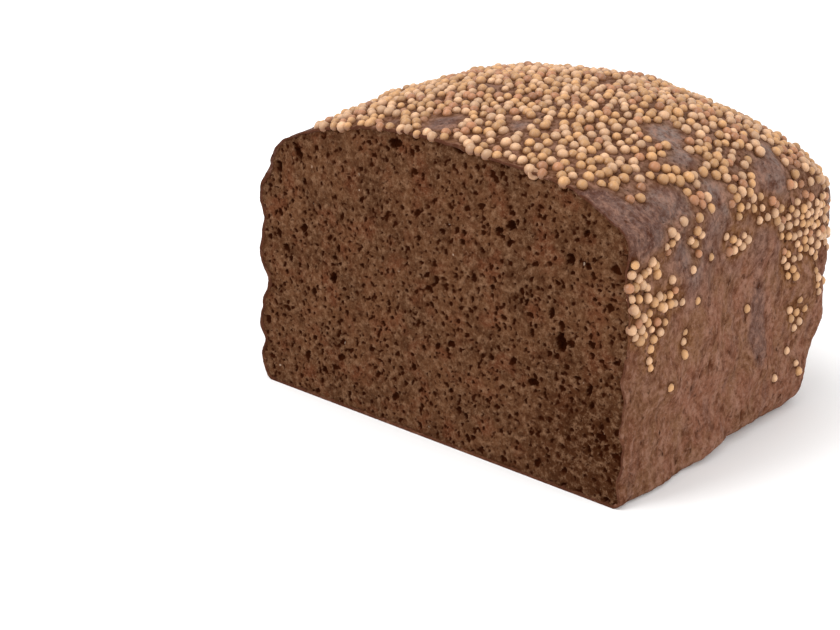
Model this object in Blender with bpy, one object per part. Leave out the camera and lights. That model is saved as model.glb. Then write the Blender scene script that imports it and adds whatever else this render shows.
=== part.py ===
"""The remaining half of a dark rye tin loaf, with coriander seeds baked onto its crust.

X runs across the loaf, Y along it from the cut face to the baked end, and Z up.
The origin is on the table, under the middle of the loaf with its seeds.
All lengths are in metres.
"""
import math
import random

import bmesh
import bpy
from mathutils import Vector, noise
from mathutils.bvhtree import BVHTree

# Loaf, seen across its width
LOAF_WIDTH = 0.115
CROWN_HEIGHT = 0.0785
LEFT_SHOULDER = 0.0605
RIGHT_SHOULDER = 0.062
CORE_HEIGHT = 0.037
SIDE_FLARE = 0.002
BOTTOM_EDGE = 0.002
FAR_BOTTOM_EDGE = 0.0065
BOTTOM_EDGE_GROWS = (0.25, 0.55)

# Loaf, seen along its length
LOAF_LENGTH = 0.104
CROWN_RISE = 0.0065
END_DROP = 0.024
END_DROP_REACH = 0.055
END_DROP_POWER = 2.3
SHOULDER_SHARE_OF_DROP = 0.93
CORE_SHARE_OF_DROP = 0.3
END_CORNER = 0.0155
END_LIFT = 0.006
END_BULGE = 0.002
END_UNDERCUT = 0.013
UNDERCUT_HEIGHT = 0.040
UNDERCUT_POWER = 1.6

# Lumps of the crust, and the swells of its left side, one above another
LUMP_HEIGHT = 0.0011
LUMP_SPACING = 0.021
LUMPS_FROM = 0.004
LUMPS_FULL = 0.012
END_LUMPS_FROM = 0.8
SWELL_HEIGHT = 0.0020
SWELL_SPACING = 0.0175
SWELL_MIDDLE = 0.0378
SWELL_TOP = 0.062
SWELL_REACH = 0.040
SWELL_REST = 0.3

# Facets of the bare loaf
FACETS_ACROSS = 20
FACETS_ALONG = 16
FACETS_UP = 16
FLATNESS = 1e-6
LEAST_REACH = 1e-6

# Coriander seeds
SEED_RADIUS = 0.0016
SEED_PROUD = 0.0021
SEED_GAP = 0.0078
SEED_TRIES = 9000
SEED_FLOOR = 0.020
SEED_CROWN = 0.056
SEED_SHARE_ON_SIDE = 0.12
SEED_SHARE_AT_ENDS = 0.7
SEED_REACH_FROM_CUT = 0.2
SEED_REACH_FROM_END = 0.25
SEED_RAYS_TO = 0.9
SEED_RAYS_TURN = (-0.1, 1.1)
SEED_RAYS_SLANT = 2.0
SEED_SLANT_FROM = 0.2
SEED_DRAW = 11

# Largest pores in the cut face
PORE_COUNT = 26
PORE_RADIUS = 0.0016
PORE_STRETCH = 1.5
PORE_LEAN = 0.6
PORE_MARGIN = 0.012
PORE_GAP = 0.009
PORE_DRAW = 5

CRUST_COLOUR = (0.105, 0.050, 0.030, 1.0)
CRUST_ROUGHNESS = 0.7

CUT_FACE = -0.5 * (LOAF_LENGTH + END_BULGE + SEED_PROUD)


def clear_scene():
    """Start from an empty scene."""
    for thing in list(bpy.data.objects):
        bpy.data.objects.remove(thing, do_unlink=True)


def ease(from_end, reach, power=2.0):
    """Quarter round: 0 further than reach from the end, and 1 at the end.

    A power above 2 makes it squarer.
    """
    step = min(max(1.0 - from_end / reach, 0.0), 1.0)
    return 1.0 - (1.0 - step ** power) ** (1.0 / power)


def blend(value, start, end):
    """Soft step from 0 at start to 1 at end."""
    step = min(max((value - start) / (end - start), 0.0), 1.0)
    return step * step * (3.0 - 2.0 * step)


def rim_point(side, up, along):
    """Point (x, z) on the outline of the cross section at one station along the loaf.

    side runs from -1 to 1 and up from 0 to 1, and one of them is at its limit.
    """
    from_end = (1.0 - along) * LOAF_LENGTH
    drop = END_DROP * ease(from_end, END_DROP_REACH, END_DROP_POWER)
    edge = BOTTOM_EDGE + (FAR_BOTTOM_EDGE - BOTTOM_EDGE) * blend(along, *BOTTOM_EDGE_GROWS)
    half = 0.5 * LOAF_WIDTH - END_CORNER * ease(from_end, END_CORNER)
    crown = CROWN_HEIGHT + CROWN_RISE * math.sin(math.pi * along) - drop
    shoulder = LEFT_SHOULDER if side < 0.0 else RIGHT_SHOULDER
    shoulder -= SHOULDER_SHARE_OF_DROP * drop
    floor = END_LIFT * ease(from_end, END_LIFT)
    if up >= 1.0:
        turn = 0.5 * math.pi * side
        return half * math.sin(turn), shoulder + (crown - shoulder) * math.cos(turn)
    if up <= 0.0:
        return side * (half + SIDE_FLARE - edge), floor
    height = floor + (shoulder - floor) * up
    tuck = edge * ease(height - floor, edge)
    return math.copysign(half + SIDE_FLARE * (1.0 - up) - tuck, side), height


def loaf_point(across, along, up):
    """Point of the loaf for a point of a box: across -1 to 1, along and up 0 to 1."""
    reach = max(abs(across), abs(2.0 * up - 1.0), LEAST_REACH)
    side = across / reach
    level = min(max(0.5 * ((2.0 * up - 1.0) / reach + 1.0), 0.0), 1.0)
    x, z = rim_point(side, level, along)
    from_end = (1.0 - along) * LOAF_LENGTH
    drop = END_DROP * ease(from_end, END_DROP_REACH, END_DROP_POWER)
    core = CORE_HEIGHT - CORE_SHARE_OF_DROP * drop
    x *= reach
    z = core + (z - core) * reach
    y = along * LOAF_LENGTH
    if along >= 1.0:
        y += END_BULGE * (1.0 - reach * reach)
    low = min(max(1.0 - z / UNDERCUT_HEIGHT, 0.0), 1.0)
    y *= 1.0 - END_UNDERCUT / LOAF_LENGTH * low ** UNDERCUT_POWER
    return Vector((x, CUT_FACE + y, z))


def swell(point):
    """How far the left side swells out at a point, rounded with sharp folds between."""
    turn = math.pi * (point.z - SWELL_MIDDLE) / SWELL_SPACING
    from_cut = (point.y - CUT_FACE) / SWELL_REACH
    share = SWELL_REST + (1.0 - SWELL_REST) * max(1.0 - from_cut, 0.0)
    inwards = min(max(-2.0 * point.x / LOAF_WIDTH, 0.0), 1.0)
    below = blend(point.z, SWELL_TOP, SWELL_TOP - 0.5 * SWELL_SPACING)
    above = blend(point.z, 0.0, 0.5 * SWELL_SPACING)
    return SWELL_HEIGHT * share * abs(math.cos(turn)) * inwards * below * above


def lump(point):
    """Lumps of the crust, as a push away from the core that leaves cut and base flat."""
    height = LUMP_HEIGHT * noise.noise(point / LUMP_SPACING)
    away = Vector((point.x, 0.0, point.z - CORE_HEIGHT)).normalized() * height
    past = max((point.y - CUT_FACE) / LOAF_LENGTH - END_LUMPS_FROM, 0.0)
    away.y = height * min(past / (1.0 - END_LUMPS_FROM), 1.0)
    away.z *= min(max((point.z - LUMPS_FROM) / (LUMPS_FULL - LUMPS_FROM), 0.0), 1.0)
    away.x -= swell(point)
    return away


def make_loaf():
    """Bare half loaf, as one closed mesh shaped from a box of facets."""
    mesh = bmesh.new()
    bmesh.ops.create_cube(mesh, size=2.0)
    for axis, count in enumerate((FACETS_ACROSS, FACETS_ALONG, FACETS_UP)):
        for cut in range(1, count):
            plane = Vector((0.0, 0.0, 0.0))
            normal = Vector((0.0, 0.0, 0.0))
            plane[axis] = 2.0 * cut / count - 1.0
            normal[axis] = 1.0
            everything = mesh.verts[:] + mesh.edges[:] + mesh.faces[:]
            bmesh.ops.bisect_plane(mesh, geom=everything, plane_co=plane, plane_no=normal)
    for vert in mesh.verts:
        box = vert.co
        point = loaf_point(box.x, 0.5 * (box.y + 1.0), 0.5 * (box.z + 1.0))
        vert.co = point + lump(point)
    flats = [edge for edge in mesh.edges if lies_flat(edge)]
    bmesh.ops.dissolve_edges(mesh, edges=flats, use_verts=True)
    bmesh.ops.recalc_face_normals(mesh, faces=mesh.faces[:])
    return as_object(mesh, "loaf")


def flat_of(face):
    """Which flat a face lies in, the cut or the base, if any."""
    if all(abs(vert.co.y - CUT_FACE) < FLATNESS for vert in face.verts):
        return "cut"
    if all(abs(vert.co.z) < FLATNESS for vert in face.verts):
        return "base"
    return None


def lies_flat(edge):
    """Whether an edge lies inside the cut face or inside the base."""
    flats = {flat_of(face) for face in edge.link_faces}
    return len(flats) == 1 and None not in flats


def as_object(mesh, name):
    """Scene object that holds a finished bmesh."""
    data = bpy.data.meshes.new(name)
    mesh.to_mesh(data)
    mesh.free()
    thing = bpy.data.objects.new(name, data)
    bpy.context.scene.collection.objects.link(thing)
    return thing


def seed_share(spot):
    """How likely a seed is to stick: full on the crown, thin on the sides and the end."""
    if spot.z > SEED_CROWN:
        return 1.0
    if spot.z < SEED_FLOOR:
        return 0.0
    along = (spot.y - CUT_FACE) / LOAF_LENGTH
    near_cut = 1.0 - min(along / SEED_REACH_FROM_CUT, 1.0)
    near_end = 1.0 - min(max(1.0 - along, 0.0) / SEED_REACH_FROM_END, 1.0)
    height = (spot.z - SEED_FLOOR) / (SEED_CROWN - SEED_FLOOR)
    return height * (SEED_SHARE_ON_SIDE + SEED_SHARE_AT_ENDS * max(near_cut, near_end))


def seed_spots(loaf):
    """Places on the crust for the seeds, found by rays from the core, none too close."""
    mesh = bmesh.new()
    mesh.from_mesh(loaf.data)
    crust = BVHTree.FromBMesh(mesh)
    mesh.free()
    draw = random.Random(SEED_DRAW)
    spots = []
    for _ in range(SEED_TRIES):
        along = draw.uniform(0.0, SEED_RAYS_TO) * LOAF_LENGTH
        start = Vector((0.0, CUT_FACE + along, CORE_HEIGHT))
        turn = draw.uniform(*SEED_RAYS_TURN) * math.pi
        slant = draw.uniform(0.0, SEED_RAYS_SLANT)
        if start.y < SEED_SLANT_FROM * LOAF_LENGTH:
            slant = 0.0
        ray = Vector((math.cos(turn), slant, math.sin(turn)))
        spot, normal, _, _ = crust.ray_cast(start, ray.normalized())
        clear_of_cut = spot.y > CUT_FACE + SEED_PROUD
        apart = all((spot - other).length > SEED_GAP for other, _ in spots)
        if clear_of_cut and apart and draw.random() < seed_share(spot):
            spots.append((spot, normal))
    return spots


def ball(name, radius):
    """Mesh of a small ball with twenty faces."""
    mesh = bmesh.new()
    bmesh.ops.create_icosphere(mesh, subdivisions=1, radius=radius)
    data = bpy.data.meshes.new(name)
    mesh.to_mesh(data)
    mesh.free()
    return data


def add_seeds(loaf):
    """Fuse the seeds to the loaf, each a small ball sunk into the crust."""
    seeds = bpy.data.collections.new("seeds")
    bpy.context.scene.collection.children.link(seeds)
    shape = ball("seed", SEED_RADIUS)
    draw = random.Random(SEED_DRAW)
    for number, (spot, normal) in enumerate(seed_spots(loaf)):
        seed = bpy.data.objects.new(f"seed_{number:03d}", shape)
        seed.location = spot + normal * (SEED_PROUD - SEED_RADIUS)
        seed.rotation_euler = [draw.uniform(0.0, math.tau) for _ in range(3)]
        seeds.objects.link(seed)
    join_with(loaf, seeds, "UNION")


def pore_centres():
    """Places in the cut face for the largest pores, spread apart and clear of the crust."""
    draw = random.Random(PORE_DRAW)
    half = 0.5 * LOAF_WIDTH - PORE_MARGIN
    centres = []
    while len(centres) < PORE_COUNT:
        height = draw.uniform(PORE_MARGIN, RIGHT_SHOULDER)
        centre = Vector((draw.uniform(-half, half), CUT_FACE, height))
        if all((centre - other).length > PORE_GAP for other in centres):
            centres.append(centre)
    return centres


def open_pores(loaf):
    """Sink the largest pores into the cut face, each a small ball drawn out upwards."""
    pores = bpy.data.collections.new("pores")
    bpy.context.scene.collection.children.link(pores)
    shape = ball("pore", PORE_RADIUS)
    draw = random.Random(PORE_DRAW)
    for number, centre in enumerate(pore_centres()):
        pore = bpy.data.objects.new(f"pore_{number:02d}", shape)
        pore.location = centre
        pore.rotation_euler = (0.0, draw.uniform(-PORE_LEAN, PORE_LEAN), 0.0)
        pore.scale = (1.0, 1.0, PORE_STRETCH)
        pores.objects.link(pore)
    join_with(loaf, pores, "DIFFERENCE")


def join_with(loaf, pieces, operation):
    """Apply one Boolean between the loaf and a collection, then remove the pieces."""
    bpy.context.view_layer.update()
    change = loaf.modifiers.new(pieces.name, "BOOLEAN")
    change.operand_type = "COLLECTION"
    change.collection = pieces
    change.operation = operation
    change.solver = "EXACT"
    bpy.context.view_layer.update()
    graph = bpy.context.evaluated_depsgraph_get()
    result = bpy.data.meshes.new_from_object(loaf.evaluated_get(graph))
    loaf.modifiers.remove(change)
    loaf.data = result
    for piece in list(pieces.objects):
        bpy.data.objects.remove(piece, do_unlink=True)
    bpy.data.collections.remove(pieces)


def add_crust_material(loaf):
    """Matt dark brown of a baked rye crust."""
    crust = bpy.data.materials.new("crust")
    crust.use_nodes = True
    shader = crust.node_tree.nodes["Principled BSDF"]
    shader.inputs["Base Color"].default_value = CRUST_COLOUR
    shader.inputs["Roughness"].default_value = CRUST_ROUGHNESS
    shader.inputs["Metallic"].default_value = 0.0
    loaf.data.materials.clear()
    loaf.data.materials.append(crust)


def main():
    clear_scene()
    loaf = make_loaf()
    open_pores(loaf)
    add_seeds(loaf)
    add_crust_material(loaf)


main()
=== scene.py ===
"""Half a dark rye tin loaf, cut square across, with coriander seeds baked onto its crust.

The frame's loaf gives the sizes. A crust, a crumb and the seeds stand for it here.
X runs across the loaf, Y along it from the cut face to the baked end, and Z up.
"""

import itertools
import math
import random

import bmesh
import bpy
import numpy as np
from bpy.props import FloatProperty, FloatVectorProperty, IntProperty, PointerProperty
from mathutils import Matrix, Vector, noise
from mathutils.bvhtree import BVHTree
from mathutils.kdtree import KDTree


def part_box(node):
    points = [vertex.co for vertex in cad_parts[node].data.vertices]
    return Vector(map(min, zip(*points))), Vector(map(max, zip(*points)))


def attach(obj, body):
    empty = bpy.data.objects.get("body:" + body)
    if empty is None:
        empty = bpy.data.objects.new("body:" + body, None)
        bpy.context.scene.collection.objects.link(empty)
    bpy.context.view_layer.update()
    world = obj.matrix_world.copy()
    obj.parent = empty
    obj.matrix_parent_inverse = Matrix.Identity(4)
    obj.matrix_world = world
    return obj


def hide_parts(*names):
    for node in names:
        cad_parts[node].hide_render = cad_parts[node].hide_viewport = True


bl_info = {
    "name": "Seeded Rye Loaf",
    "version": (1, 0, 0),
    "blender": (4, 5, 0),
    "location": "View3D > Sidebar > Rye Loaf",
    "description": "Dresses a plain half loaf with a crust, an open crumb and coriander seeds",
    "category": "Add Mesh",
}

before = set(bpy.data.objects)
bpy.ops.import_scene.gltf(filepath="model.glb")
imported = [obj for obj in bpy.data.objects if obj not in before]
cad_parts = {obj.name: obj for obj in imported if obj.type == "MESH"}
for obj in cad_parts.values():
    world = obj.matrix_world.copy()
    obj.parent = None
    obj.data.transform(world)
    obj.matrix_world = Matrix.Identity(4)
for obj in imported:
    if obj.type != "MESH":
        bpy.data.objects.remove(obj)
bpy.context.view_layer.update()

NODE = "loaf"
BODY = "root"
LOW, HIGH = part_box(NODE)

# How far seeds, rise, flare and swells take the frame's box beyond the bare loaf
SIDE_STANDOFF = 0.0041
END_STANDOFF = 0.0036
CROWN_STANDOFF = 0.0083

MM = 0.001


def metres(name, description, default):
    """Setting for a size."""
    return FloatProperty(name=name, description=description, unit="LENGTH", default=default)


def tint(name, description, default):
    """Setting for a colour."""
    return FloatVectorProperty(
        name=name, description=description, subtype="COLOR", size=3, min=0.0, max=1.0,
        default=default)


class LoafShape(bpy.types.PropertyGroup):
    """Sizes of the half loaf, from the frame and from the tin."""

    width: metres("Width", "Width at the shoulders", HIGH[0] - LOW[0] - 2.0 * SIDE_STANDOFF)
    length: metres(
        "Length", "Length from the cut face to the baked end", HIGH[1] - LOW[1] - END_STANDOFF)
    crown: metres("Crown", "Height of the crown at the cut", HIGH[2] - CROWN_STANDOFF)
    left_shoulder: metres(
        "Left shoulder", "Height where the left side turns into the crown", 0.0605)
    right_shoulder: metres(
        "Right shoulder", "Height where the right side turns into the crown", 0.062)
    core: metres("Core", "Height of the middle of the loaf", 0.037)
    flare: metres("Flare", "How far each side widens towards the base", 0.002)
    bottom_edge: metres("Bottom edge", "Rounding of the long bottom edges at the cut", 0.002)
    far_bottom_edge: metres(
        "Far bottom edge", "Rounding of the long bottom edges at the end", 0.0065)
    rise: metres("Rise", "How far the crown rises along the loaf", 0.0065)
    swell: metres("Swell", "How far the left side swells out at the cut", 0.0020)
    swell_spacing: metres("Swell spacing", "Height from one swell to the next", 0.0175)
    end_drop: metres("End drop", "How far the crown falls at the baked end", 0.024)
    end_drop_reach: metres("End drop reach", "Length over which the crown falls", 0.055)
    end_corner: metres("End corner", "Rounding of the upright corners at the end", 0.0155)
    end_lift: metres("End lift", "Rounding under the baked end", 0.006)
    end_bulge: metres("End bulge", "How far the baked end stands out in its middle", 0.002)
    end_undercut: metres("End undercut", "How far the baked end slopes in at the base", 0.013)
    undercut_height: metres("Undercut height", "Height at which the undercut starts", 0.040)


class CrustLook(bpy.types.PropertyGroup):
    """Relief and colours of the baked crust."""

    lump_height: metres("Lump height", "Height of the broad lumps", 0.0011)
    lump_spacing: metres("Lump spacing", "Distance between broad lumps", 0.021)
    billow_height: metres("Billow height", "Height of the billows of the sides", 0.0012)
    billow_spacing: metres("Billow spacing", "Distance between billows of the sides", 0.015)
    blister_height: metres("Blister height", "Height of the blisters between lumps", 0.0007)
    blister_spacing: metres("Blister spacing", "Distance between blisters", 0.0075)
    grain_height: metres("Grain height", "Height of the fine grain", 0.0003)
    torn_height: metres("Torn height", "Height of the crust's torn edge at the cut", 0.0007)
    grain_spacing: metres("Grain spacing", "Distance between grains", 0.0026)
    pit_depth: metres("Pit depth", "Depth of the burst pits in the sides", 0.0005)
    rim: metres("Rim", "Thickness of the crust at the cut", 0.0004)
    crown_colour: tint("Crown", "Dark aubergine brown of the crown", (0.140, 0.073, 0.056))
    crown_shade: tint("Crown shade", "Darker patches of the crown", (0.092, 0.043, 0.033))
    crown_grey: tint("Crown grey", "Dusty grey patches of the crown", (0.222, 0.168, 0.147))
    side_light: tint("Side light", "Raised grains of the crust", (0.310, 0.165, 0.115))
    side_colour: tint("Side", "Warm brown of the sides", (0.199, 0.094, 0.050))
    side_blush: tint("Side blush", "Redder patches of the sides", (0.209, 0.087, 0.051))
    # Grey of the streaks and drips of the sides, and of a band of painted shade on the right side
    side_grey: tint("Side grey", "Cooler stains of the sides", (0.150, 0.081, 0.062))
    # Painted shade in the pits and burst dents, also the crust's dark grain
    pit_shade_and_grain: tint("Pit", "Dark bottoms of the pits", (0.062, 0.016, 0.005))
    # Painted shade right beside a seed, also darker sides near the cut
    seed_shade_and_dark_crust: tint("Gap", "Dark crust right beside a seed", (0.068, 0.023, 0.007))
    toffee: tint("Toffee", "Warmer crust between seeds that lie close", (0.190, 0.084, 0.034))
    rim_colour: tint("Rim", "Dark edge of the crust at the cut", (0.080, 0.028, 0.015))


class CrumbLook(bpy.types.PropertyGroup):
    """Pores and colours of the cut crumb."""

    pocket: metres("Pocket", "How deep the crumb is set into the crust", 0.004)
    pocket_taper: metres("Pocket taper", "How far the pocket narrows towards its bottom", 0.003)
    small_pores: IntProperty(
        name="Small pores", description="How many small pores the cut opens", default=5200)
    large_pores: IntProperty(
        name="Large pores", description="How many large pores the cut opens", default=980)
    crumb_colour: tint("Crumb", "Brown of the moist crumb", (0.091, 0.0385, 0.0175))
    crumb_light: tint("Crumb light", "Drier, paler crumb", (0.204, 0.109, 0.061))
    fleck: tint("Fleck", "Pale flecks of bran", (0.420, 0.300, 0.220))
    crumb_red: tint(
        "Crumb red", "Redder crumb, in patches and next to the crust", (0.110, 0.036, 0.016))
    # Darker crumb next to the crust, and painted shadow low on the right
    crumb_dark_and_shade: tint(
        "Crumb moist", "Darker, moister crumb low on the right", (0.046, 0.0155, 0.0055))
    # Painted shade inside the pores, large and small
    pore_shade: tint("Pore", "Dark red brown inside the pores", (0.026, 0.0048, 0.0010))


class SeedLook(bpy.types.PropertyGroup):
    """Sizes and colours of the coriander seeds."""

    radius: metres("Radius", "Mean radius of a seed", 0.00130)
    unevenness: FloatProperty(
        name="Unevenness", description="How much the seeds differ in size", subtype="FACTOR",
        default=0.10)
    pale: tint("Pale", "Husk of a pale seed", (0.535, 0.318, 0.176))
    golden: tint("Golden", "Husk of a golden seed", (0.470, 0.250, 0.102))
    toasted: tint("Toasted", "Husk of a toasted seed", (0.350, 0.150, 0.066))
    furrow: tint("Furrow", "Shade between the ribs and under the seed", (0.200, 0.082, 0.034))


class StageLook(bpy.types.PropertyGroup):
    """Camera, floor and lights."""

    lens: FloatProperty(
        name="Lens", description="Focal length on a 36 mm sensor, in millimetres",
        default=70.7)
    distance: metres("Distance", "Camera to its target", 0.4093)
    azimuth: FloatProperty(
        name="Azimuth", description="Camera's turn round the loaf towards its right side",
        subtype="ANGLE", default=math.radians(41.27))
    elevation: FloatProperty(
        name="Elevation", description="Camera's height above the horizon", subtype="ANGLE",
        default=math.radians(20.6))
    roll: FloatProperty(
        name="Roll", description="Camera's lean", subtype="ANGLE",
        default=math.radians(0.52))
    target: FloatVectorProperty(
        name="Target", description="Point that the camera looks at, from the cut face's foot",
        subtype="TRANSLATION", size=3, default=(-0.003, 0.0, 0.0328))
    floor: tint("Floor", "Colour of the table", (0.95, 0.95, 0.95))
    sky: FloatProperty(
        name="Sky", description="Strength of the white studio round the table", default=0.97)


# Shares, powers and places of the loaf's form
SHOULDER_SHARE_OF_DROP = 0.93
CORE_SHARE_OF_DROP = 0.3
END_DROP_POWER = 2.3
UNDERCUT_POWER = 1.6
BOTTOM_EDGE_GROWS = (0.25, 0.55)
LUMPS_FROM = 0.004
LUMPS_FULL = 0.012
END_LUMPS_FROM = 0.8
SWELL_MIDDLE = 0.0378
SWELL_TOP = 0.062
SWELL_REACH = 0.040
SWELL_REST = 0.3
ARC_STEPS = 200

# Length that counts as none, and the least that a length is divided by
TOUCHING = 1e-6
NEARLY_NONE = 1e-9

# Where each layer of relief is taken from the noise, and how its octaves follow each other
LAYERS = {
    "lump": 0.0, "blister": 3.1, "billow": 14.6, "grain": 7.7, "pit": 11.3, "pit patch": 5.9,
    "torn": 6.1, "drip": 9.1, "fine drip": 1.9, "crown edge": 2.2, "fine crown edge": 4.4,
    "crumb": 1.7, "crumb wave": 8.8, "pore across": 2.9, "pore upward": 6.3}
OCTAVE_FALL = 1.0
OCTAVE_STEP = 2.0


def ease(from_end, reach, power=2.0):
    """Quarter round: 0 further than reach from the end, and 1 at the end.

    A power above 2 makes it squarer.
    """
    step = np.clip(1.0 - from_end / reach, 0.0, 1.0)
    return 1.0 - (1.0 - step ** power) ** (1.0 / power)


def blend(value, start, end):
    """Soft step from 0 at start to 1 at end."""
    step = np.clip((value - start) / (end - start), 0.0, 1.0)
    return step * step * (3.0 - 2.0 * step)


def loaf_points(box, shape):
    """Points of the bare loaf for points of a box: across -1 to 1, along and up 0 to 1."""
    across, along, up = box.T
    reach = np.maximum(np.maximum(np.abs(across), np.abs(2.0 * up - 1.0)), TOUCHING)
    side = across / reach
    level = np.clip(0.5 * ((2.0 * up - 1.0) / reach + 1.0), 0.0, 1.0)
    from_end = (1.0 - along) * shape.length
    drop = shape.end_drop * ease(from_end, shape.end_drop_reach, END_DROP_POWER)
    edge = shape.bottom_edge + (shape.far_bottom_edge - shape.bottom_edge) * blend(
        along, *BOTTOM_EDGE_GROWS)
    half = 0.5 * shape.width - shape.end_corner * ease(from_end, shape.end_corner)
    crown = shape.crown + shape.rise * np.sin(np.pi * along) - drop
    shoulder = np.where(side < 0.0, shape.left_shoulder, shape.right_shoulder)
    shoulder = shoulder - SHOULDER_SHARE_OF_DROP * drop
    floor = shape.end_lift * ease(from_end, shape.end_lift)
    turn = 0.5 * np.pi * side
    height = floor + (shoulder - floor) * level
    tuck = edge * ease(height - floor, edge)
    wall = np.sign(side) * (half + shape.flare * (1.0 - level) - tuck)
    sole = side * (half + shape.flare - edge)
    on_crown, on_sole = level >= 1.0, level <= 0.0
    x = np.where(on_crown, half * np.sin(turn), np.where(on_sole, sole, wall))
    z = np.where(on_crown, shoulder + (crown - shoulder) * np.cos(turn), height)
    core = shape.core - CORE_SHARE_OF_DROP * drop
    x = x * reach
    z = core + (z - core) * reach
    y = along * shape.length
    y = y + np.where(along >= 1.0, shape.end_bulge * (1.0 - reach * reach), 0.0)
    low = np.clip(1.0 - z / shape.undercut_height, 0.0, 1.0)
    y = y * (1.0 - shape.end_undercut / shape.length * low ** UNDERCUT_POWER)
    return np.column_stack((x, LOW[1] + y, z))


def even_across(across, shape):
    """Spread the box's columns evenly along the arc of the crown."""
    turn = np.linspace(0.0, 0.5 * np.pi, ARC_STEPS)
    flatness = (shape.crown - shape.right_shoulder) / (0.5 * shape.width)
    steps = np.hypot(np.diff(np.sin(turn)), flatness * np.diff(np.cos(turn)))
    arc = np.concatenate(([0.0], np.cumsum(steps)))
    return np.sign(across) * np.interp(np.abs(across), arc / arc[-1], turn) / (0.5 * np.pi)


def field(points, spacing, layer, octaves=0):
    """Noise of about -1 to 1 at each point: smooth, or with finer detail in each octave."""
    shift = Vector((LAYERS[layer],) * 3)
    places = [Vector(point) / spacing + shift for point in points]
    if octaves:
        return np.array([
            noise.fractal(place, OCTAVE_FALL, OCTAVE_STEP, octaves) for place in places])
    return np.array([noise.noise(place) for place in places])


def unit(arrows):
    """Arrows of the same directions, each one long."""
    return arrows / np.maximum(np.linalg.norm(arrows, axis=1), NEARLY_NONE)[:, None]


def swells(points, shape):
    """How far the left side swells out at each point, rounded with sharp folds between."""
    height = points[:, 2]
    turn = np.pi * (height - SWELL_MIDDLE) / shape.swell_spacing
    from_cut = (points[:, 1] - LOW[1]) / SWELL_REACH
    share = SWELL_REST + (1.0 - SWELL_REST) * np.maximum(1.0 - from_cut, 0.0)
    inwards = np.clip(-2.0 * points[:, 0] / shape.width, 0.0, 1.0)
    below = blend(height, SWELL_TOP, SWELL_TOP - 0.5 * shape.swell_spacing)
    above = blend(height, 0.0, 0.5 * shape.swell_spacing)
    return shape.swell * share * np.abs(np.cos(turn)) * inwards * below * above


def lumps(points, shape, look):
    """Broad lumps of the frame's loaf, which leave the cut and the base flat."""
    height = look.lump_height * field(points, look.lump_spacing, "lump")
    level = np.zeros(len(points))
    away = unit(np.column_stack((points[:, 0], level, points[:, 2] - shape.core)))
    push = away * height[:, None]
    past = np.maximum((points[:, 1] - LOW[1]) / shape.length - END_LUMPS_FROM, 0.0)
    push[:, 1] = height * np.minimum(past / (1.0 - END_LUMPS_FROM), 1.0)
    push[:, 2] *= np.clip((points[:, 2] - LUMPS_FROM) / (LUMPS_FULL - LUMPS_FROM), 0.0, 1.0)
    push[:, 0] -= swells(points, shape)
    return push


def shoulder_height(y, shape):
    """Height of the right shoulder at places along the loaf."""
    from_end = np.clip(shape.length + LOW[1] - y, 0.0, shape.length)
    fall = shape.end_drop * ease(from_end, shape.end_drop_reach, END_DROP_POWER)
    return shape.right_shoulder - SHOULDER_SHARE_OF_DROP * fall


def read_points(mesh):
    """Corner points of a mesh as an array."""
    values = np.empty(3 * len(mesh.vertices), dtype=np.float32)
    mesh.vertices.foreach_get("co", values)
    return values.reshape(-1, 3).astype(float)


def set_attribute(mesh, name, values):
    """Store one number for each corner point, for the material to read."""
    layer = mesh.attributes.get(name) or mesh.attributes.new(name, "FLOAT", "POINT")
    layer.data.foreach_set("value", values.astype(np.float32))


def place_corners(mesh, points):
    """Move the corner points of a bmesh to their places."""
    for vert, point in zip(mesh.verts, points):
        vert.co = point


def finished(mesh, name):
    """Mesh made of a bmesh, which is freed."""
    data = bpy.data.meshes.new(name)
    mesh.to_mesh(data)
    mesh.free()
    return data


def new_object(name, data):
    """New object in the scene."""
    thing = bpy.data.objects.new(name, data)
    bpy.context.scene.collection.objects.link(thing)
    return thing


def add_piece(mesh, name, material):
    """Put a finished mesh in the scene as a piece of the loaf."""
    piece = new_object(name, mesh)
    mesh.materials.append(material)
    mesh.shade_smooth()
    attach(piece, BODY)
    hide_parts(NODE)


def facing(direction):
    """Rotation that turns a thing's top in a direction."""
    return direction.to_track_quat("Z", "Y").to_matrix().to_4x4()


# Cells of the crust's mesh, points of the cut's outline, the angle of a sharp edge, and
# how flat the cut is
CRUST_CELLS = (150, 126, 82)
OUTLINE_STEPS = 900
SHARP_FROM = 55.0
FLATNESS = 1e-7

# From which share of its direction a side or the end counts as upright, and how soon
SIDE_UPRIGHT = (0.5, 3.0)
END_UPRIGHT = (0.6, 4.0)

# Blisters and billows: how flat the hollows and the crown are, and the billows' swing
HOLLOWS = 0.7
CROWN_BLISTERS = 0.6
BILLOW_SWING = 2.4
BILLOW_MEAN = 0.6
GRAIN_OCTAVES = 3

# Burst pits: their spacing, how much taller they are, the patches that they come in,
# where they start and how soon they are full, and how deep they are on the crown
PIT_SPACING = 0.0019
PIT_TALLER = (1.0, 1.0, 0.5)
PIT_PATCH_SPACING = 0.011
PIT_PATCH_SHARE = 0.5
PIT_STEP = (0.50, 3.2)
CROWN_PITS = 0.25

# Height from which the relief is full, and how far from the cut and how coarsely the
# crust is torn
RELIEF_FULL = 0.004
TORN_FOR = 0.006
TORN_SPACING = 0.0042
TORN_OCTAVES = 2

# Grey drips under the shoulders: where they start and end, their stretch, swing,
# spacing and strength
DRIPS_START = 0.004
DRIPS_END = 0.024
DRIP_TALLER = (1.0, 1.0, 0.3)
DRIP_SWING = 0.014
DRIP_SPACING = 0.005
FINE_DRIP_SWING = 0.004
FINE_DRIP_SPACING = 0.003
DRIP_SHARE = 0.75

# The long grey band of painted shade on the right side, with its ragged edge
SHADE_BAND_ALONG = 0.059
SHADE_BAND_HALF_LENGTH = 0.0055
SHADE_BAND_HEIGHT = 0.030
SHADE_BAND_HALF_HEIGHT = 0.011
SHADE_BAND_RAGGED = 30.0
SHADE_BAND_EDGE = (1.15, 0.65)

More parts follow.
